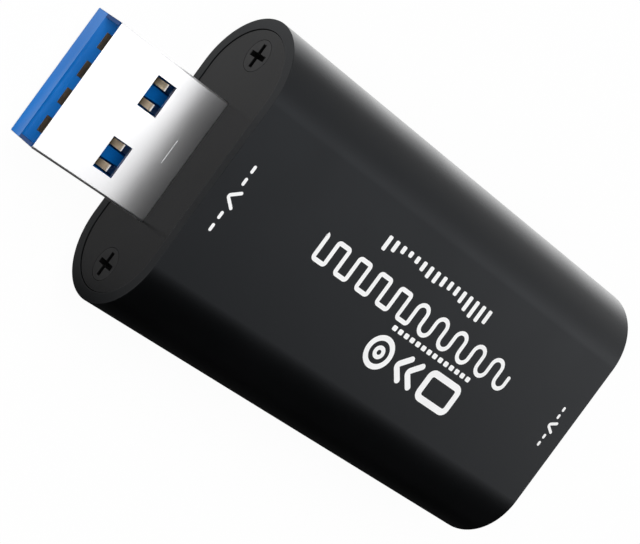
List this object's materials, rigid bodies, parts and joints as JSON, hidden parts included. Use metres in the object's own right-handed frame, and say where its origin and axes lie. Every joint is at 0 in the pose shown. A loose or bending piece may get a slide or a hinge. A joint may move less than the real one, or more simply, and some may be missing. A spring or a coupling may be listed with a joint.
{
  "type": "video capture box",
  "caption": "Pocket video capture box: black stadium-section aluminium sleeve with screwed end plates, a type A plug at one end and a video socket at the other.",
  "frame": {"origin": "middle of the whole length and width, on the face that the box lies on", "axes": "+X out of the output plug, +Z out of the printed face, +Y to the left seen from the plug's tip"},
  "size_m": [0.0622, 0.0278, 0.0121],
  "materials": {
    "black_anodised": "fine satin, anodised black",
    "black_plate": "satin, anodised black",
    "black_screw": "black oxide",
    "board_laminate": "green solder mask",
    "bright_shell": "bright nickel plate",
    "blue_plastic": "moulded blue",
    "gold_contact": "gold plate",
    "black_plastic": "moulded black",
    "chip_moulding": "moulded black",
    "soft_pad": "soft grey-blue pad",
    "bright_can": "bright lid",
    "ferrite": "dark grey ferrite",
    "tantalum_moulding": "moulded amber",
    "tan_ceramic": "tan ceramic",
    "black_ceramic": "dark glaze"
  },
  "bodies": {
    "box_body": {"housing_sleeve": "black_anodised", "output_end_plate": "black_plate", "input_end_plate": "black_plate", "output_plate_screws": "black_screw", "input_plate_screws": "black_screw", "circuit_board": "board_laminate", "plug_shell": "bright_shell", "plug_tongue": "blue_plastic", "plug_signal_contacts": "gold_contact", "plug_spring_roots": "gold_contact", "video_socket_shell": "bright_shell", "video_socket_block": "black_plastic", "video_socket_upper_contacts": "gold_contact", "video_socket_lower_contacts": "gold_contact", "capture_chip": "chip_moulding", "thermal_pad": "soft_pad", "flash_memory": "chip_moulding", "crystal": "bright_can", "power_inductors": "ferrite", "voltage_regulators": "chip_moulding", "surge_protectors": "chip_moulding", "tantalum_capacitors": "tantalum_moulding", "ceramic_capacitors": "tan_ceramic", "chip_resistors": "black_ceramic"},
    "contact_springs": {"plug_contact_springs": "gold_contact"}
  },
  "joints": [
    {"name": "contact_springs_press", "type": "hinge", "parent": "box_body", "child": "contact_springs", "pos_m": [0.01975, 0, 0.00348], "axis": [0, 1, 0], "range_deg": [0, 5], "stiffness_Nm_per_rad": 0.15}
  ]
}
